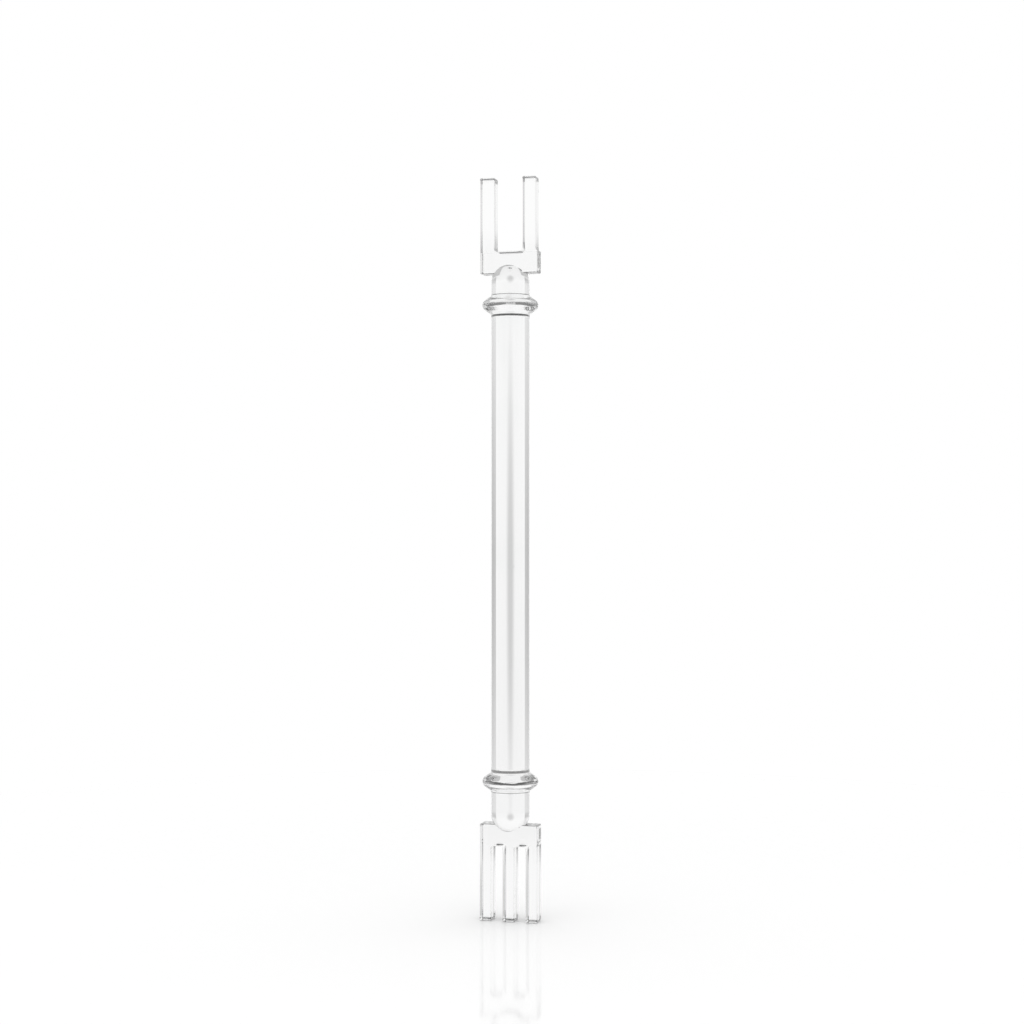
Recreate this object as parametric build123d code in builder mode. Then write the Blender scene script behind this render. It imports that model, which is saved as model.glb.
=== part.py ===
from build123d import *

import os
from math import copysign

# Fork-ended glass rod, in millimetres.
# Origin: centre of the standing plane under the feet. +Z runs up the rod and
# +X runs across the forks, so the flat faces of both forks look along Y.

# Rod stock
ROD_DIAMETER = 13.0

# Levels along the rod, measured up from the standing plane
FOOT_ROOT = 25.0
LOWER_BAR_TOP = 32.4
LOWER_DOME_CENTRE = 35.8
LOWER_STEM_CREASE = 43.5
LOWER_COLLAR_CREST = 46.6
LOWER_SHAFT_CREASE = 49.7
UPPER_SHAFT_CREASE = 203.8
UPPER_COLLAR_CREST = 207.1
UPPER_STEM_CREASE = 210.1
UPPER_DOME_CENTRE = 214.5
UPPER_BAR_BOTTOM = 217.6
SADDLE_LEVEL = 225.0
OVERALL_HEIGHT = 250.0

# Collar beads: two flanks that would meet at the sharp diameter, rounded to
# a finished diameter of about 18.7, with a short land where each end is fused
COLLAR_SHARP_DIAMETER = 21.6
COLLAR_CREST_ROUND = 2.0
COLLAR_CREASE_ROUND = 0.8
COLLAR_LAND = 0.5

# Comb foot
FOOT_WIDTH = 4.0
FOOT_PITCH = 8.0
FOOT_DEPTH = 6.5

# U fork
UPPER_BAR_DEPTH = 6.0
UPPER_TINE_DEPTH = 5.0
UPPER_LEFT_TINE_WIDTH = 5.2
UPPER_RIGHT_TINE_WIDTH = 4.7
UPPER_RIGHT_TINE_INSET = 0.5

# Fire-polished edges of the bars
EDGE_ROUND = 0.5

ROD_RADIUS = ROD_DIAMETER / 2
FORK_WIDTH = 2 * FOOT_PITCH + FOOT_WIDTH
FOOT_FRONT = -FOOT_DEPTH / 2
UPPER_FORK_FRONT = -UPPER_BAR_DEPTH / 2
LOWER_COLLAR_BOTTOM = LOWER_STEM_CREASE - COLLAR_LAND
LOWER_COLLAR_TOP = LOWER_SHAFT_CREASE + COLLAR_LAND
UPPER_COLLAR_BOTTOM = UPPER_SHAFT_CREASE - COLLAR_LAND
UPPER_COLLAR_TOP = UPPER_STEM_CREASE + COLLAR_LAND


def collar(low_crease, crest, high_crease):
    """Solid bead: land, flank, rounded crest, flank, land, turned about Z."""
    low_end = low_crease - COLLAR_LAND
    high_end = high_crease + COLLAR_LAND
    with BuildPart() as bead:
        with BuildSketch(Plane.XZ) as section:
            with BuildLine():
                Polyline(
                    (0, low_end),
                    (ROD_RADIUS, low_end),
                    (ROD_RADIUS, low_crease),
                    (COLLAR_SHARP_DIAMETER / 2, crest),
                    (ROD_RADIUS, high_crease),
                    (ROD_RADIUS, high_end),
                    (0, high_end),
                    close=True,
                )
            make_face()
            fillet(section.vertices().sort_by(Axis.X)[-1], radius=COLLAR_CREST_ROUND)
            on_rod = section.vertices().filter_by_position(Axis.X, ROD_RADIUS, ROD_RADIUS)
            fillet(on_rod.sort_by(Axis.Y)[1:3], radius=COLLAR_CREASE_ROUND)
        revolve(axis=Axis.Z)
    return bead


def domed_stem(collar_end, dome_centre):
    """Stub of rod from a collar's land to a hemispherical end."""
    outward = copysign(1, dome_centre - collar_end)
    with BuildPart() as stem:
        with BuildSketch(Plane.XZ):
            with BuildLine():
                Polyline(
                    (0, dome_centre + outward * ROD_RADIUS),
                    (0, collar_end),
                    (ROD_RADIUS, collar_end),
                    (ROD_RADIUS, dome_centre),
                )
                CenterArc((0, dome_centre), ROD_RADIUS, 0, outward * 90)
            make_face()
        revolve(axis=Axis.Z)
    return stem


def crossbar(root_level, stem_level, depth, dome_centre):
    """Bar across the rod, hollowed to seat the stem's dome, its edges towards the tines sharp."""
    with BuildPart() as bar:
        with BuildSketch(Plane.XY.offset(root_level)):
            Rectangle(FORK_WIDTH, depth)
        extrude(amount=stem_level - root_level)
        fillet(bar.edges().filter_by(Axis.Z), radius=EDGE_ROUND)
        stem_side = bar.faces().filter_by_position(Axis.Z, stem_level, stem_level)
        fillet(stem_side.edges(), radius=EDGE_ROUND)
        with Locations((0, 0, dome_centre)):
            Sphere(ROD_RADIUS, mode=Mode.SUBTRACT)
    return bar


def tine(centre_x, width, front, depth, root_level, tip_level):
    """Upright bar with its flat front at Y = front, rounded edges and a square root where it is fused on."""
    with BuildPart() as prong:
        with BuildSketch(Plane.XY.offset(root_level)):
            with Locations((centre_x, front + depth / 2)):
                Rectangle(width, depth)
        extrude(amount=tip_level - root_level)
        fillet(prong.edges().filter_by(Axis.Z), radius=EDGE_ROUND)
        tip = prong.faces().filter_by_position(Axis.Z, tip_level, tip_level)
        fillet(tip.edges(), radius=EDGE_ROUND)
    return prong


with BuildPart() as shaft:
    with BuildSketch(Plane.XY.offset(LOWER_COLLAR_TOP)):
        Circle(ROD_RADIUS)
    extrude(amount=UPPER_COLLAR_BOTTOM - LOWER_COLLAR_TOP)

lower_collar = collar(LOWER_STEM_CREASE, LOWER_COLLAR_CREST, LOWER_SHAFT_CREASE)
upper_collar = collar(UPPER_SHAFT_CREASE, UPPER_COLLAR_CREST, UPPER_STEM_CREASE)

lower_stem = domed_stem(LOWER_COLLAR_BOTTOM, LOWER_DOME_CENTRE)
upper_stem = domed_stem(UPPER_COLLAR_TOP, UPPER_DOME_CENTRE)

lower_crossbar = crossbar(FOOT_ROOT, LOWER_BAR_TOP, FOOT_DEPTH, LOWER_DOME_CENTRE)
upper_crossbar = crossbar(
    SADDLE_LEVEL, UPPER_BAR_BOTTOM, UPPER_BAR_DEPTH, UPPER_DOME_CENTRE
)

# The comb's feet stand on Z = 0, evenly spaced about the rod's axis
lower_left_tine = tine(-FOOT_PITCH, FOOT_WIDTH, FOOT_FRONT, FOOT_DEPTH, FOOT_ROOT, 0)
lower_middle_tine = tine(0, FOOT_WIDTH, FOOT_FRONT, FOOT_DEPTH, FOOT_ROOT, 0)
lower_right_tine = tine(FOOT_PITCH, FOOT_WIDTH, FOOT_FRONT, FOOT_DEPTH, FOOT_ROOT, 0)

# Both tines of the U are flush with the crossbar's front and set back at its rear.
# The left one is flush with the crossbar's end, the right one stands in from it.
upper_left_tine = tine(
    (UPPER_LEFT_TINE_WIDTH - FORK_WIDTH) / 2,
    UPPER_LEFT_TINE_WIDTH,
    UPPER_FORK_FRONT,
    UPPER_TINE_DEPTH,
    SADDLE_LEVEL,
    OVERALL_HEIGHT,
)
upper_right_tine = tine(
    (FORK_WIDTH - UPPER_RIGHT_TINE_WIDTH) / 2 - UPPER_RIGHT_TINE_INSET,
    UPPER_RIGHT_TINE_WIDTH,
    UPPER_FORK_FRONT,
    UPPER_TINE_DEPTH,
    SADDLE_LEVEL,
    OVERALL_HEIGHT,
)

pieces = {
    "shaft": shaft,
    "lower_collar": lower_collar,
    "upper_collar": upper_collar,
    "lower_stem": lower_stem,
    "upper_stem": upper_stem,
    "lower_crossbar": lower_crossbar,
    "upper_crossbar": upper_crossbar,
    "lower_left_tine": lower_left_tine,
    "lower_middle_tine": lower_middle_tine,
    "lower_right_tine": lower_right_tine,
    "upper_left_tine": upper_left_tine,
    "upper_right_tine": upper_right_tine,
}
os.makedirs("parts", exist_ok=True)
for label, piece in pieces.items():
    piece.part.label = label
    export_step(piece.part, f"parts/{label}.step")
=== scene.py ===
import math

import bmesh
import bpy
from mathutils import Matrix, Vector


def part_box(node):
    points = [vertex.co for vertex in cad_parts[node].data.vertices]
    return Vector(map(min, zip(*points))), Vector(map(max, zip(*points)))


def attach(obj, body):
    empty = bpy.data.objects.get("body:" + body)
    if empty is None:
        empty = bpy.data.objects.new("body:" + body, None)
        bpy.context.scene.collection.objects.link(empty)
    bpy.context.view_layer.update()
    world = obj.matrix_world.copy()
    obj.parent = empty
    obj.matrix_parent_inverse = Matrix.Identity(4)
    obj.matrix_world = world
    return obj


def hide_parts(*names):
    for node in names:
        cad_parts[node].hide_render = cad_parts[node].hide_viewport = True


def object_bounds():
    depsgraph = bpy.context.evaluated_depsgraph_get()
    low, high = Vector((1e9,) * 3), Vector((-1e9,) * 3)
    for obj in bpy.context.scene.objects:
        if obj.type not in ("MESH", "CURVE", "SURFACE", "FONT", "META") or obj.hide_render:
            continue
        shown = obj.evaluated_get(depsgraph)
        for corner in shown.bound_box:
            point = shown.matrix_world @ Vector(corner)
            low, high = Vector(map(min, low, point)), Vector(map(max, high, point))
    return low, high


# A clear glass rod with a bead collar near each end and a fused fork at each
# end. The pieces are hot-fused, so where two of them meet both carry the same
# face with a fully transparent "fused" material, and only the outer faces bend
# light. Lengths are metres; MM turns a length in millimetres into metres.

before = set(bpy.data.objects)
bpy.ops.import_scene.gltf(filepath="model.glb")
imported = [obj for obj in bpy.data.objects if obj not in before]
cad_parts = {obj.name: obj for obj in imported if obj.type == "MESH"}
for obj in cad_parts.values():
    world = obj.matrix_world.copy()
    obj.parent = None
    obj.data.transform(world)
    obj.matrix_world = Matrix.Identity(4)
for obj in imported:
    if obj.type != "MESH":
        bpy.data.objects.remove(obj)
cad_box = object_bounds()

MM = 0.001

# How finely the outlines are divided
SEGMENTS = 144
ARC_STEPS = 10
DOME_STEPS = 40
EDGE_STEPS = 6
SLOT_STEPS = 10
WEB_STEPS = 8
TINE_STEPS = 24
SIDE_STEPS = 6
SEAT_STEPS = 40
RING_SPACING = 2.5 * MM
STEM_RING_SPACING = 1.0 * MM
LEVEL_SPACING = 0.5 * MM

# Collar outline, as designed: flanks meeting at a sharp crest, then rounded
COLLAR_SHARP_RADIUS = 10.8 * MM
COLLAR_CREST_ROUND = 2.0 * MM
COLLAR_CREASE_ROUND = 0.8 * MM
COLLAR_LAND = 0.5 * MM

# Fire-polished bars. Their edges are rounded by EDGE_ROUND across the flat faces and EDGE_DEPTH along Y,
# and a narrow SUPPORT strip beside each rounding keeps the shading of the flats even.
EDGE_ROUND = 0.5 * MM
EDGE_DEPTH = 0.8 * MM
SUPPORT = 0.12 * MM

# Webs where tines meet their crossbar. The tine's own edges round in over WEB_TAPER above them, and the
# slot's edges over SLOT_EASE from each tine.
WEB_ROUND = 0.35 * MM
WEB_TAPER = 2.0 * MM
SLOT_EASE = 1.2 * MM

# Points closer than WELD are one point, and lengths under TINY are nothing. A tine's side within
# FLUSH_WITHIN of the crossbar's end is flush with it. Faces within SEAT_SLACK times the rod's radius of the
# dome's centre lie on the seat.
WELD = 0.0002 * MM
TINY = 0.0001 * MM
FLUSH_WITHIN = 0.1 * MM
SEAT_SLACK = 1.0005

# Faces with more corners than this are the bars' flat caps. Edges sharper than CREASE_ANGLE stay sharp.
CAP_CORNERS = 8
CREASE_ANGLE = math.radians(35)

GLASS, FUSED = 0, 1


# ---------------------------------------------------------------- outlines


def arc(centre, radius, start, end, steps):
    """Points on a circle in the plane, angles in radians, both ends included."""
    angles = [start + (end - start) * i / steps for i in range(steps + 1)]
    return [(centre[0] + radius * math.cos(a), centre[1] + radius * math.sin(a)) for a in angles]


def rounded_corner(before, corner, after, radius, steps):
    """Points that round the corner between two straight stretches."""
    b = Vector(before) - Vector(corner)
    a = Vector(after) - Vector(corner)
    b.normalize()
    a.normalize()
    half = b.angle(a) / 2
    centre = Vector(corner) + (b + a).normalized() * radius / math.sin(half)
    first = Vector(corner) + b * radius / math.tan(half) - centre
    last = Vector(corner) + a * radius / math.tan(half) - centre
    turn = math.atan2(first.x * last.y - first.y * last.x, first.dot(last))
    start = math.atan2(first.y, first.x)
    return arc(centre, radius, start, start + turn, steps)


def stretch(start, end, count):
    """Points from start to end, both included, in count equal steps."""
    return [tuple(Vector(start).lerp(Vector(end), i / count)) for i in range(count + 1)]


def steps_for(length, spacing):
    """How many equal steps no longer than spacing fill a length."""
    return max(1, math.ceil(length / spacing))


# ---------------------------------------------------------------- meshes


def piece_from(bm, name, materials):
    """Turns a bmesh into an object: smooth, but for flat caps, creases and where a fused face begins."""
    bmesh.ops.remove_doubles(bm, verts=bm.verts, dist=WELD)
    bmesh.ops.dissolve_degenerate(bm, edges=bm.edges, dist=WELD)
    bmesh.ops.recalc_face_normals(bm, faces=bm.faces)
    for face in bm.faces:
        face.smooth = len(face.verts) <= CAP_CORNERS
    for edge in bm.edges:
        faces = edge.link_faces
        if len(faces) == 2:
            fused_edge = faces[0].material_index != faces[1].material_index
            edge.smooth = not fused_edge and edge.calc_face_angle() < CREASE_ANGLE
    mesh = bpy.data.meshes.new(name)
    bm.to_mesh(mesh)
    bm.free()
    for material in materials:
        mesh.materials.append(material)
    piece = bpy.data.objects.new(name, mesh)
    bpy.context.scene.collection.objects.link(piece)
    return piece


def cut_at(bm, point, normal):
    """Adds edges where a plane crosses the mesh, so that faces can differ on its two sides."""
    everything = bm.verts[:] + bm.edges[:] + bm.faces[:]
    bmesh.ops.bisect_plane(bm, geom=everything, dist=TINY, plane_co=point, plane_no=normal)


def lathe(outline):
    """Solid of revolution about Z. The outline runs as (radius, z) from one end face's rim to the other's.
    An end that lies on the axis closes itself."""
    bm = bmesh.new()
    rings = []
    for radius, z in outline:
        if radius < TINY:
            rings.append([bm.verts.new((0, 0, z))] * SEGMENTS)
            continue
        turns = [2 * math.pi * i / SEGMENTS for i in range(SEGMENTS)]
        rings.append([bm.verts.new((radius * math.cos(t), radius * math.sin(t), z)) for t in turns])
    for low, high in zip(rings, rings[1:]):
        for i in range(SEGMENTS):
            j = (i + 1) % SEGMENTS
            corners = list(dict.fromkeys((low[i], low[j], high[j], high[i])))
            bm.faces.new(corners).material_index = GLASS
    for ring in (rings[0], rings[-1]):
        if ring[0] is ring[1]:
            continue
        hub = bm.verts.new((0, 0, ring[0].co.z))
        for i in range(SEGMENTS):
            bm.faces.new((hub, ring[i], ring[(i + 1) % SEGMENTS])).material_index = FUSED
    return bm


def slab(outline_at, front, back, fused_at):
    """Solid with flat faces across Y, at front and back. outline_at(y, inset) gives its closed outline in X
    and Z, drawn in by inset where those faces' edges are rounded. fused_at(point) says where it is fused."""
    middle = (front + back) / 2
    half = (back - front) / 2
    levels = [(half, EDGE_ROUND + SUPPORT)]
    for i in range(EDGE_STEPS + 1):
        turn = math.pi / 2 * (1 - i / EDGE_STEPS)
        drop = EDGE_DEPTH * (1 - math.sin(turn))
        levels.append((half - drop, EDGE_ROUND * (1 - math.cos(turn))))
    flat = half - EDGE_DEPTH - SUPPORT
    levels.append((flat, 0))
    rows = int((flat - SUPPORT) / LEVEL_SPACING)
    levels += [(LEVEL_SPACING * row, 0) for row in range(rows, 0, -1)]
    levels = levels + [(0, 0)] + [(-y, inset) for y, inset in reversed(levels)]
    bm = bmesh.new()
    rings = []
    for y, inset in levels:
        rings.append([bm.verts.new((x, middle + y, z)) for x, z in outline_at(middle + y, inset)])
    for near, far in zip(rings, rings[1:]):
        for i in range(len(near)):
            j = (i + 1) % len(near)
            face = bm.faces.new((near[i], near[j], far[j], far[i]))
            face.material_index = FUSED if fused_at(face.calc_center_median()) else GLASS
    for ring in (rings[0], rings[-1]):
        bm.faces.new(ring).material_index = GLASS
    return bm


# ---------------------------------------------------------------- shader helpers


class Nodes:
    """Short ways to add and join shader nodes in one node tree."""

    def __init__(self, tree):
        tree.nodes.clear()
        self.tree = tree

    def add(self, kind, settings=None, **inputs):
        """A node with the given settings. Each input is a value or another node's output."""
        node = self.tree.nodes.new(kind)
        for name, value in (settings or {}).items():
            setattr(node, name, value)
        for name, value in inputs.items():
            self.feed(node.inputs[name.replace("_", " ")], value)
        return node

    def feed(self, socket, value):
        if isinstance(value, bpy.types.NodeSocket):
            self.tree.links.new(value, socket)
        else:
            socket.default_value = value

    def math(self, operation, *values):
        node = self.add("ShaderNodeMath", {"operation": operation})
        for socket, value in zip(node.inputs, values):
            self.feed(socket, value)
        return node.outputs[0]

    def dot(self, a, b, c, d):
        """a times b plus c times d."""
        return self.math("ADD", self.math("MULTIPLY", a, b), self.math("MULTIPLY", c, d))

    def blend(self, value, start, end, low, high):
        """Runs smoothly from low at start to high at end."""
        node = self.add("ShaderNodeMapRange", {"interpolation_type": "SMOOTHSTEP"}, Value=value)
        for name, setting in (("From Min", start), ("From Max", end), ("To Min", low), ("To Max", high)):
            self.feed(node.inputs[name], setting)
        return node.outputs[0]

    def noise(self, place, stretch_z, per_metre, detail):
        """Noise with features 1 / per_metre long, drawn out along Z by stretch_z."""
        flat = self.add("ShaderNodeMapping", Vector=place, Scale=(1, 1, 1 / stretch_z)).outputs[0]
        return self.add("ShaderNodeTexNoise", Vector=flat, Scale=per_metre, Detail=detail).outputs[0]


def new_material(name):
    material = bpy.data.materials.new(name)
    material.use_nodes = True
    return material, Nodes(material.node_tree)


# ---------------------------------------------------------------- materials

GLASS_IOR = 1.474
CLEAN_GLASS = (1.0, 1.0, 1.0, 1)
FILMED_GLASS = (0.955, 0.965, 0.960, 1)

# Roughness of the three states of the surface
POLISHED = 0.0
HANDLED = 0.035
SCUFFED = 0.22

# For each kind of piece: waves per metre, their height, and the height of the drawn lines
ROD_SURFACE = (90, 0.030 * MM, 0.0015 * MM)
BEAD_SURFACE = (320, 0.120 * MM, 0.0010 * MM)
BAR_SURFACE = (150, 0.016 * MM, 0.0008 * MM)

# Waves are a little longer along Z than across it, and drawn lines are many times longer
WAVE_STRETCH = 1.6
WAVE_DETAIL = 1
LINE_STRETCH = 60
LINES_PER_METRE = 900
LINE_DETAIL = 2

# Seeds: tiny blisters, flat out to SEED_CORE and gone at SEED_RIM, both as shares of a cell
SEEDS_PER_METRE = 130
SEED_CORE, SEED_RIM = 0.03, 0.08
SEED_HEIGHT = 0.02 * MM

# Film: where noise passes from FILM_FROM to FILM_TO the surface goes from polished to handled
FILM_STRETCH = 2.5
FILM_PER_METRE = 70
FILM_DETAIL = 4
FILM_FROM, FILM_TO = 0.50, 0.72

# Scuffs on the tips and feet, broken up into grazes
SCUFF_DEPTH = 0.5 * MM
GRAZES_PER_METRE = 1500
GRAZE_DETAIL = 3
GRAZE_FROM, GRAZE_TO = 0.40, 0.60

# Where the upper dome was last drawn off: a small curled dent in its front with a wandering outline, of full
# depth within CURL_CORE of its place and gone at CURL_REACH
CURL_PLACE = (1.1 * MM, -4.8 * MM, 218.3 * MM)
CURL_REACH = 2.0 * MM
CURL_DEPTH = 0.9 * MM
CURL_WANDER = 1.5 * MM
CURL_CORE = CURL_WANDER / 3
CURLS_PER_METRE = 500
CURL_DETAIL = 1

# A mix node has sockets for each type of data; these are the ones for colours
MIX_A, MIX_B, MIX_RESULT = 6, 7, 2


def glass_material(name, surface, scuffed_ends=False, curled=False):
    """Borosilicate with slow waves, fine lines drawn along Z, seeds, and a patchy film from handling."""
    material, nodes = new_material(name)
    place = nodes.add("ShaderNodeTexCoord").outputs["Object"]
    waves_per_metre, wave_height, line_height = surface

    wave = nodes.noise(place, WAVE_STRETCH, waves_per_metre, WAVE_DETAIL)
    waves = nodes.math("MULTIPLY", wave, wave_height)
    line = nodes.noise(place, LINE_STRETCH, LINES_PER_METRE, LINE_DETAIL)
    lines = nodes.math("MULTIPLY", line, line_height)
    seed = nodes.add("ShaderNodeTexVoronoi", Vector=place, Scale=SEEDS_PER_METRE).outputs["Distance"]
    seeds = nodes.blend(seed, SEED_CORE, SEED_RIM, SEED_HEIGHT, 0)
    height = nodes.math("ADD", nodes.math("ADD", waves, lines), seeds)
    if curled:
        apart = nodes.add("ShaderNodeVectorMath", {"operation": "DISTANCE"})
        nodes.feed(apart.inputs[0], place)
        nodes.feed(apart.inputs[1], CURL_PLACE)
        wander = nodes.noise(place, 1, CURLS_PER_METRE, CURL_DETAIL)
        wander = nodes.math("MULTIPLY", wander, CURL_WANDER)
        reach = nodes.math("ADD", apart.outputs["Value"], wander)
        height = nodes.math("ADD", height, nodes.blend(reach, CURL_CORE, CURL_REACH, -CURL_DEPTH, 0))
    bump = nodes.add("ShaderNodeBump", Height=height, Strength=1, Distance=1).outputs[0]

    patches = nodes.noise(place, FILM_STRETCH, FILM_PER_METRE, FILM_DETAIL)
    film = nodes.blend(patches, FILM_FROM, FILM_TO, 0, 1)
    roughness = nodes.blend(film, 0, 1, POLISHED, HANDLED)
    if scuffed_ends:
        level = nodes.add("ShaderNodeSeparateXYZ", Vector=place).outputs["Z"]
        from_end = nodes.math("MINIMUM", level, nodes.math("SUBTRACT", overall_height, level))
        scratches = nodes.noise(place, 1, GRAZES_PER_METRE, GRAZE_DETAIL)
        grazes = nodes.blend(scratches, GRAZE_FROM, GRAZE_TO, 0, 1)
        scuffs = nodes.math("MULTIPLY", nodes.blend(from_end, 0, SCUFF_DEPTH, 1, 0), grazes)
        roughness = nodes.blend(scuffs, 0, 1, roughness, SCUFFED)

    tint = nodes.add("ShaderNodeMix", {"data_type": "RGBA"})
    nodes.feed(tint.inputs["Factor"], film)
    nodes.feed(tint.inputs[MIX_A], CLEAN_GLASS)
    nodes.feed(tint.inputs[MIX_B], FILMED_GLASS)

    glass = nodes.add("ShaderNodeBsdfPrincipled", IOR=GLASS_IOR, Transmission_Weight=1.0)
    nodes.feed(glass.inputs["Base Color"], tint.outputs[MIX_RESULT])
    nodes.feed(glass.inputs["Roughness"], roughness)
    nodes.feed(glass.inputs["Normal"], bump)
    nodes.add("ShaderNodeOutputMaterial", Surface=glass.outputs[0])
    return material


def fused_material():
    """What two hot-fused pieces share: no surface at all."""
    material, nodes = new_material("fused_contact")
    clear = nodes.add("ShaderNodeBsdfTransparent")
    nodes.add("ShaderNodeOutputMaterial", Surface=clear.outputs[0])
    return material


overall_height = cad_box[1][2]
fused = fused_material()
rod_glass = glass_material("rod_glass", ROD_SURFACE)
curled_glass = glass_material("curled_glass", ROD_SURFACE, curled=True)
bead_glass = glass_material("bead_glass", BEAD_SURFACE)
bar_glass = glass_material("bar_glass", BAR_SURFACE, scuffed_ends=True)


# ---------------------------------------------------------------- sizes from the frame

rod_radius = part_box("shaft")[1].x


def finish_piece(bm, node_name, material):
    """Makes the piece and puts it in place of its CAD node."""
    piece = piece_from(bm, node_name + "_glass", [material, fused])
    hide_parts(node_name)
    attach(piece, "root")
    return piece


# ---------------------------------------------------------------- turned pieces


def make_shaft():
    low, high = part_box("shaft")
    rings = steps_for(high.z - low.z, RING_SPACING)
    outline = stretch((rod_radius, low.z), (rod_radius, high.z), rings)
    finish_piece(lathe(outline), "shaft", rod_glass)


def make_collar(node_name, crest_level):
    low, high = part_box(node_name)
    low_crease = (rod_radius, low.z + COLLAR_LAND)
    high_crease = (rod_radius, high.z - COLLAR_LAND)
    crest = (COLLAR_SHARP_RADIUS, crest_level)
    outline = [(rod_radius, low.z)]
    outline += rounded_corner((rod_radius, low.z), low_crease, crest, COLLAR_CREASE_ROUND, ARC_STEPS)
    outline += rounded_corner(low_crease, crest, high_crease, COLLAR_CREST_ROUND, 2 * ARC_STEPS)
    outline += rounded_corner(crest, high_crease, (rod_radius, high.z), COLLAR_CREASE_ROUND, ARC_STEPS)
    outline += [(rod_radius, high.z)]
    finish_piece(lathe(outline), node_name, bead_glass)


def crest_of(node_name):
    """Level of the widest ring of a CAD collar."""
    return max(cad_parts[node_name].data.vertices, key=lambda v: v.co.x**2 + v.co.y**2).co.z


def make_stem(node_name, bar_name, dome_up):
    """Stub of rod whose domed end sinks into its crossbar; the sunk part of the dome is a fused face."""
    low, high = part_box(node_name)
    tip, end = (high.z, low.z) if dome_up else (low.z, high.z)
    way = 1 if dome_up else -1
    centre = tip - way * rod_radius
    rings = steps_for(abs(centre - end), STEM_RING_SPACING)
    outline = stretch((rod_radius, end), (rod_radius, centre), rings)
    outline += arc((0, centre), rod_radius, 0, way * math.pi / 2, DOME_STEPS)[1:-1] + [(0, tip)]
    bm = lathe(outline)
    bar_low, bar_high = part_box(bar_name)
    face_level = bar_low.z if dome_up else bar_high.z
    cuts = [((0, bar_low.y, 0), (0, 1, 0)), ((0, bar_high.y, 0), (0, 1, 0)), ((0, 0, face_level), (0, 0, 1))]
    for point, normal in cuts:
        cut_at(bm, point, normal)
    for face in bm.faces:
        middle = face.calc_center_median()
        sunk = way * (middle.z - face_level)
        over = (abs(middle.y) - bar_high.y) / EDGE_DEPTH + 1
        under = 1 - sunk / EDGE_ROUND
        in_round = over > 0 and under > 0 and math.hypot(over, under) > 1
        if sunk > 0 and abs(middle.y) < bar_high.y and not in_round:
            face.material_index = FUSED
    finish_piece(bm, node_name, curled_glass if dome_up else rod_glass)


# ---------------------------------------------------------------- bars


def ease(share):
    """Runs smoothly from 0 at share 0 to 1 at share 1, and stays there beyond."""
    share = min(1.0, max(0.0, share))
    return share * share * (3 - 2 * share)


def make_crossbar(node_name, stem_name, tines, stem_up):
    """Crossbar with a ball-shaped seat for the stem's dome and rounded slot edges between the tines.
    Worked out as if the stem were above; way turns it over."""
    low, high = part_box(node_name)
    way = 1 if stem_up else -1
    root, top = (low.z, high.z) if stem_up else (high.z, low.z)
    stem_low, stem_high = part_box(stem_name)
    tip = stem_low.z if stem_up else stem_high.z
    dome = tip + way * rod_radius
    half_width = high.x
    contacts = []
    for tine in tines:
        tine_low, tine_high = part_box(tine)
        flush_left = tine_low.x < low.x + FLUSH_WITHIN
        flush_right = tine_high.x > high.x - FLUSH_WITHIN
        left = tine_low.x - (0 if flush_left else WEB_ROUND)
        right = tine_high.x + (0 if flush_right else WEB_ROUND)
        contacts.append((left, right))
    contacts.sort()
    contact_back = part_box(tines[0])[1].y

    def slot_line(left, right, inset):
        """The slot's floor from one tine to the next, lifted by inset where its edges are rounded."""
        points = []
        for i in range(1, SLOT_STEPS):
            share = i / SLOT_STEPS
            lift = inset * ease(min(share, 1 - share) * (right - left) / SLOT_EASE)
            points.append((left + (right - left) * share, root + way * lift))
        return points

    def root_line(inset):
        """The side the tines stand on, from end to end: contacts at root level, slots between them."""
        points = []
        for index, (left, right) in enumerate(contacts):
            start = max(left, inset - half_width)
            end = min(right, half_width - inset)
            points += stretch((start, root), (end, root), SIDE_STEPS)
            if index + 1 < len(contacts):
                points += slot_line(right, contacts[index + 1][0], inset)
        if contacts[-1][1] < half_width - FLUSH_WITHIN:
            points.append((half_width - inset, root))
        return points

    def outline_at(y, inset):
        """The root line, then round the far side with the seat cut into it, and back."""
        line = top - way * inset
        seat = math.sqrt(rod_radius**2 - y**2)
        reach = math.sqrt(seat**2 - (dome - line) ** 2)
        side = half_width - inset
        points = root_line(inset)
        corner_round = max(EDGE_ROUND - inset, WELD)
        right = rounded_corner((side, root), (side, line), (0, line), corner_round, EDGE_STEPS)
        points += stretch((side, root), right[0], SIDE_STEPS)[1:-1]
        points += right
        points += stretch(right[-1], (reach, line), SIDE_STEPS)[1:-1]
        start = math.atan2(line - dome, reach)
        points += arc((0, dome), seat, start, -way * math.pi - start, SEAT_STEPS)
        left = [(-x, z) for x, z in reversed(right)]
        points += stretch((-reach, line), left[0], SIDE_STEPS)[1:-1]
        points += left
        points += stretch(left[-1], (-side, root), SIDE_STEPS)[1:-1]
        return points

    def fused_at(middle):
        on_seat = math.hypot(middle.x, middle.y, middle.z - dome) < rod_radius * SEAT_SLACK
        on_root = abs(middle.z - root) < WELD and middle.y < contact_back
        return on_seat or (on_root and any(left < middle.x < right for left, right in contacts))

    finish_piece(slab(outline_at, low.y, high.y, fused_at), node_name, bar_glass)


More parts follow.
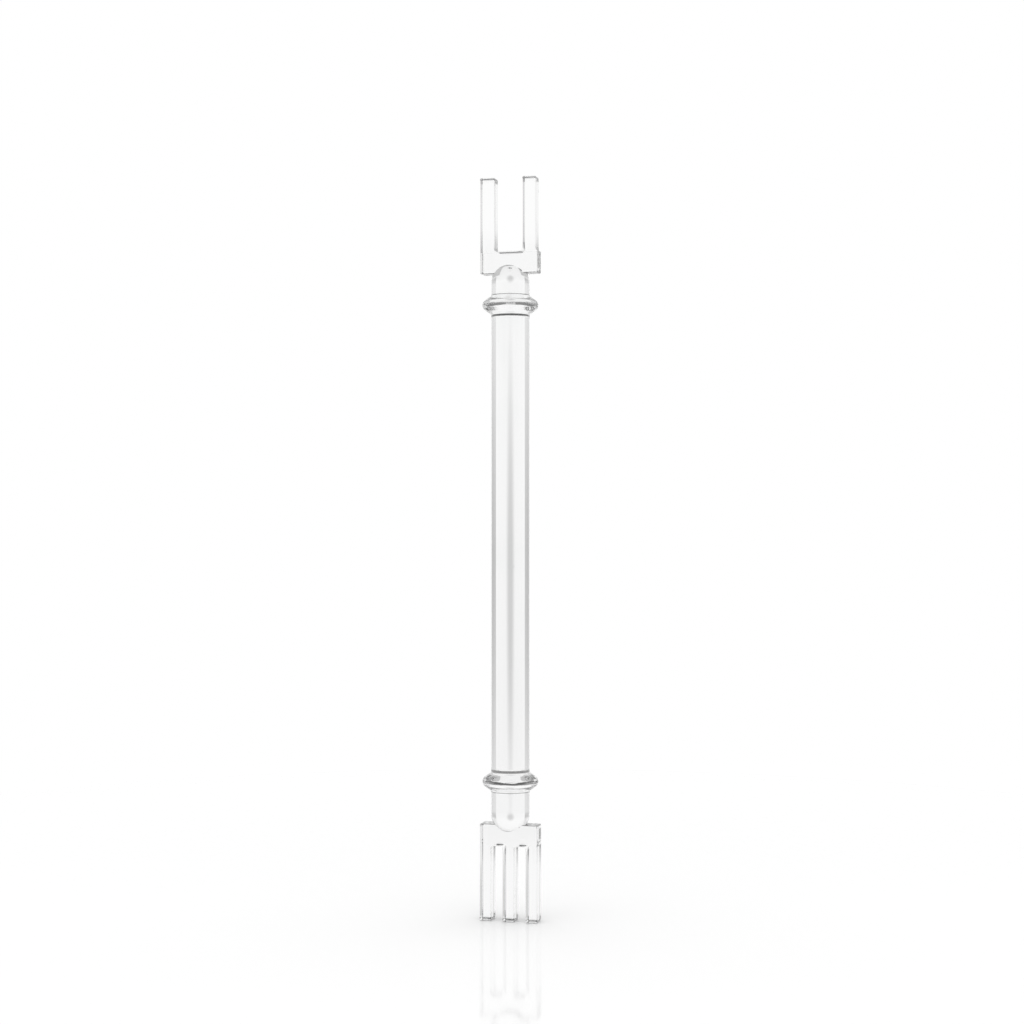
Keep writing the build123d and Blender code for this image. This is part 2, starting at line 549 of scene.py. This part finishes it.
def make_tine(node_name, bar_name, tip_up):
    """Square bar with a rounded tip. Sides that stand in from the crossbar's end meet it in small webs."""
    low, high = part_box(node_name)
    bar_low, bar_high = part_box(bar_name)
    way = 1 if tip_up else -1
    root, tip = (low.z, high.z) if tip_up else (high.z, low.z)
    webs = {-1: low.x > bar_low.x + FLUSH_WITHIN, 1: high.x < bar_high.x - FLUSH_WITHIN}
    length = abs(tip - root)
    centre = (low.x + high.x) / 2
    half = (high.x - low.x) / 2

    def side_points(side, inset):
        """From the root to where the tip's rounding begins, as (distance from centre, height above root)."""
        points = []
        for i in range(WEB_STEPS + 1):
            turn = math.pi / 2 * i / WEB_STEPS
            up = WEB_ROUND * (1 - math.cos(turn))
            if webs[side]:
                points.append((half + WEB_ROUND * (1 - math.sin(turn)) - inset * ease(up / WEB_TAPER), up))
            else:
                points.append((half - inset, up))
        straight = length - WEB_ROUND - EDGE_ROUND
        for i in range(1, TINE_STEPS):
            up = WEB_ROUND + straight * i / TINE_STEPS
            points.append((half - inset * (ease(up / WEB_TAPER) if webs[side] else 1), up))
        return points

    def outline_at(y, inset):
        right = side_points(1, inset)
        left = side_points(-1, inset)
        end = half - inset
        top = length - inset
        corner_round = max(EDGE_ROUND - inset, WELD)
        shoulder = rounded_corner((end, 0), (end, top), (0, top), corner_round, EDGE_STEPS)
        points = stretch((-left[0][0], 0), (right[0][0], 0), SIDE_STEPS)[:-1]
        points += right + shoulder
        points += stretch(shoulder[-1], (-shoulder[-1][0], shoulder[-1][1]), SIDE_STEPS)[1:-1]
        points += [(-x, up) for x, up in reversed(shoulder)]
        points += [(-x, up) for x, up in reversed(left)][:-1]
        return [(centre + x, root + way * up) for x, up in points]

    def fused_at(middle):
        return abs(middle.z - root) < WELD

    finish_piece(slab(outline_at, low.y, high.y, fused_at), node_name, bar_glass)


make_shaft()
for collar in ("lower_collar", "upper_collar"):
    make_collar(collar, crest_of(collar))
make_stem("lower_stem", "lower_crossbar", dome_up=False)
make_stem("upper_stem", "upper_crossbar", dome_up=True)
lower_tines = ["lower_left_tine", "lower_middle_tine", "lower_right_tine"]
upper_tines = ["upper_left_tine", "upper_right_tine"]
make_crossbar("lower_crossbar", "lower_stem", lower_tines, stem_up=True)
make_crossbar("upper_crossbar", "upper_stem", upper_tines, stem_up=False)
for tine in lower_tines:
    make_tine(tine, "lower_crossbar", tip_up=False)
for tine in upper_tines:
    make_tine(tine, "upper_crossbar", tip_up=True)


# ---------------------------------------------------------------- stage, light and camera

CAMERA_DISTANCE = 0.607
CAMERA_HEIGHT = 0.1324
CAMERA_AZIMUTH = math.radians(15.5)
CAMERA_TILT = math.radians(0.46)
CAMERA_SIDESTEP = 0.54 * MM
CAMERA_LENS = 63.3
SENSOR_WIDTH = 36
CAMERA_REACH = 100

MAX_BOUNCES = 32
GLOSSY_BOUNCES = 16

# The table lies FLOOR_GAP under the feet, and fades out over these distances from the rod, in metres
FLOOR_SIZE = 4
FLOOR_GAP = 0.02 * MM
FLOOR_COLOUR = (0.99, 0.99, 0.99, 1)
FLOOR_ROUGHNESS = 0.07
FLOOR_IOR = 1.45
FLOOR_FADE_FROM, FLOOR_FADE_TO = 0.12, 0.6

# The studio is drawn around the camera. Azimuths are degrees from straight ahead, to either side, and
# elevations are degrees above level. A brightness of 1 is the white the camera sees as the backdrop.
# Each FROM and TO are the angles between which one brightness changes smoothly to the next.

# The backdrop sweep ahead, out to its edge, which comes closer below BELOW_LEVEL
SWEEP_HIGH = 0.985
SWEEP_LOW = 0.945
SWEEP_FROM, SWEEP_TO = -9, 6
SWEEP_EDGE = 34
SWEEP_EDGE_BELOW = 24
EDGE_SOFTNESS = 3
BELOW_LEVEL_FROM, BELOW_LEVEL_TO = -10, -11.5

# The wall past the sweep's edge: darkest at eye level, lighter off it, and WALL_BELOW further down
EYE_LEVEL = -1.5
WALL_LEVEL = 0.55
WALL_AWAY = 0.88
WALL_BELOW = 0.60
WALL_FROM, WALL_TO = 0, 12

# A softbox on each side, then the room beside and behind the camera. Behind it is dark at eye level, with a
# bright strip above and below, and both are dark again further off level.
SOFTBOX = 1.05
SOFTBOX_FROM, SOFTBOX_TO = 63, 69
ROOM_SIDE = 0.5
SIDE_FROM, SIDE_TO = 92, 104
BEHIND_LEVEL = 0.20
BEHIND_AWAY = 0.90
BEHIND_FROM, BEHIND_TO = 125, 140
BEHIND_CENTRE = -0.7
BEHIND_BAND_FROM, BEHIND_BAND_TO = 9.0, 10.4
FAR_BEHIND = 0.20
FAR_FROM, FAR_TO = 14, 19

# The dark ceiling and ground. The ground turns light when the camera looks down; LOOKING_DOWN is the Z of
# the direction it looks in.
CEILING = 0.12
CEILING_FROM, CEILING_TO = 42, 54
FLOOR_BELOW = 0.25
FLOOR_FROM, FLOOR_TO = -40, -52
LOOKING_DOWN_FROM, LOOKING_DOWN_TO = -0.45, -0.65

# A soft dim patch straight ahead, met only by light that has come through the glass. Its FROM and TO are
# shares of its size.
DIM_DEPTH = 0.30
DIM_HALF_WIDTH = 9.5
DIM_HALF_HEIGHT = 9
DIM_FROM, DIM_TO = 0.2, 1.05

# The studio's brightness for the light that the table scatters
TABLE_LIGHT = 1.03


def make_floor():
    """White glossy table that fades into the backdrop with distance. Light that has come through the glass
    passes it, to the studio's lower half."""
    bm = bmesh.new()
    bmesh.ops.create_grid(bm, x_segments=1, y_segments=1, size=FLOOR_SIZE)
    mesh = bpy.data.meshes.new("floor")
    bm.to_mesh(mesh)
    bm.free()
    floor = bpy.data.objects.new("floor", mesh)
    floor.location.z = -FLOOR_GAP
    bpy.context.scene.collection.objects.link(floor)
    material, nodes = new_material("floor_white")
    table = nodes.add("ShaderNodeBsdfPrincipled", Roughness=FLOOR_ROUGHNESS, IOR=FLOOR_IOR)
    nodes.feed(table.inputs["Base Color"], FLOOR_COLOUR)
    through_glass = nodes.add("ShaderNodeLightPath").outputs["Is Transmission Ray"]
    place = nodes.add("ShaderNodeTexCoord").outputs["Object"]
    distance = nodes.add("ShaderNodeVectorMath", {"operation": "LENGTH"}, Vector=place).outputs["Value"]
    away = nodes.blend(distance, FLOOR_FADE_FROM, FLOOR_FADE_TO, 0, 1)
    surface = nodes.add("ShaderNodeMixShader")
    nodes.feed(surface.inputs[0], nodes.math("MAXIMUM", through_glass, away))
    nodes.feed(surface.inputs[1], table.outputs[0])
    nodes.feed(surface.inputs[2], nodes.add("ShaderNodeBsdfTransparent").outputs[0])
    nodes.add("ShaderNodeOutputMaterial", Surface=surface.outputs[0])
    mesh.materials.append(material)


def make_world():
    """The studio, as a sky. What it shows depends on the kind of ray, so only traced rays sample it."""
    world = bpy.data.worlds.new("studio")
    bpy.context.scene.world = world
    world.use_nodes = True
    world.cycles.sampling_method = "NONE"
    nodes = Nodes(world.node_tree)

    ray = nodes.add("ShaderNodeTexCoord").outputs["Generated"]
    settings = {"vector_type": "VECTOR", "convert_from": "CAMERA", "convert_to": "WORLD"}
    ahead = nodes.add("ShaderNodeVectorTransform", settings, Vector=(0, 0, 1)).outputs[0]
    ray_x, ray_y, ray_z = nodes.add("ShaderNodeSeparateXYZ", Vector=ray).outputs
    ahead_x, ahead_y, ahead_z = nodes.add("ShaderNodeSeparateXYZ", Vector=ahead).outputs
    along = nodes.dot(ray_x, ahead_x, ray_y, ahead_y)
    aside = nodes.dot(ray_x, ahead_y, ray_y, nodes.math("MULTIPLY", ahead_x, -1))
    azimuth = nodes.math("ABSOLUTE", nodes.math("DEGREES", nodes.math("ARCTAN2", aside, along)))
    elevation = nodes.math("DEGREES", nodes.math("ARCSINE", ray_z))
    off_level = nodes.math("ABSOLUTE", nodes.math("SUBTRACT", elevation, EYE_LEVEL))

    sweep = nodes.blend(elevation, SWEEP_FROM, SWEEP_TO, SWEEP_LOW, SWEEP_HIGH)
    wall = nodes.blend(off_level, WALL_FROM, WALL_TO, WALL_LEVEL, WALL_AWAY)
    wall = nodes.blend(elevation, BELOW_LEVEL_FROM, BELOW_LEVEL_TO, wall, WALL_BELOW)
    edge = nodes.blend(elevation, BELOW_LEVEL_FROM, BELOW_LEVEL_TO, SWEEP_EDGE, SWEEP_EDGE_BELOW)
    past_edge = nodes.math("SUBTRACT", azimuth, edge)
    side = nodes.blend(azimuth, SIDE_FROM, SIDE_TO, SOFTBOX, ROOM_SIDE)
    side = nodes.blend(off_level, FAR_FROM, FAR_TO, side, FAR_BEHIND)
    off_band = nodes.math("ABSOLUTE", nodes.math("SUBTRACT", elevation, BEHIND_CENTRE))
    behind = nodes.blend(off_band, BEHIND_BAND_FROM, BEHIND_BAND_TO, BEHIND_LEVEL, BEHIND_AWAY)
    behind = nodes.blend(off_level, FAR_FROM, FAR_TO, behind, FAR_BEHIND)
    light = nodes.blend(past_edge, 0, EDGE_SOFTNESS, sweep, wall)
    light = nodes.blend(azimuth, SOFTBOX_FROM, SOFTBOX_TO, light, side)
    light = nodes.blend(azimuth, BEHIND_FROM, BEHIND_TO, light, behind)
    light = nodes.blend(elevation, CEILING_FROM, CEILING_TO, light, CEILING)
    ground = nodes.blend(ahead_z, LOOKING_DOWN_FROM, LOOKING_DOWN_TO, FLOOR_BELOW, SWEEP_LOW)
    light = nodes.blend(elevation, FLOOR_FROM, FLOOR_TO, light, ground)

    path = nodes.add("ShaderNodeLightPath").outputs
    across = nodes.math("DIVIDE", azimuth, DIM_HALF_WIDTH)
    upward = nodes.math("DIVIDE", off_level, DIM_HALF_HEIGHT)
    reach = nodes.math("SQRT", nodes.dot(across, across, upward, upward))
    dim = nodes.blend(reach, DIM_FROM, DIM_TO, DIM_DEPTH, 0)
    light = nodes.math("SUBTRACT", light, nodes.math("MULTIPLY", dim, path["Is Transmission Ray"]))
    light = nodes.blend(path["Is Camera Ray"], 0, 1, light, 1)
    light = nodes.blend(path["Is Diffuse Ray"], 0, 1, light, TABLE_LIGHT)
    sky = nodes.add("ShaderNodeBackground", Strength=light)
    nodes.add("ShaderNodeOutputWorld", Surface=sky.outputs[0])
    sky.inputs["Color"].default_value = (1, 1, 1, 1)


def make_camera():
    data = bpy.data.cameras.new("camera")
    camera = bpy.data.objects.new("camera", data)
    bpy.context.scene.collection.objects.link(camera)
    away = Vector((math.sin(CAMERA_AZIMUTH), -math.cos(CAMERA_AZIMUTH), 0)) * CAMERA_DISTANCE
    aside = Vector((math.cos(CAMERA_AZIMUTH), math.sin(CAMERA_AZIMUTH), 0)) * CAMERA_SIDESTEP
    camera.location = away + aside + Vector((0, 0, CAMERA_HEIGHT))
    data.sensor_width = SENSOR_WIDTH
    data.lens = CAMERA_LENS
    data.clip_end = CAMERA_REACH
    camera.rotation_euler = (math.pi / 2 + CAMERA_TILT, 0, CAMERA_AZIMUTH)
    bpy.context.scene.camera = camera


make_floor()
make_world()
make_camera()
scene = bpy.context.scene
scene.view_settings.view_transform = "Standard"
scene.cycles.max_bounces = MAX_BOUNCES
scene.cycles.transmission_bounces = MAX_BOUNCES
scene.cycles.transparent_max_bounces = MAX_BOUNCES
scene.cycles.glossy_bounces = GLOSSY_BOUNCES
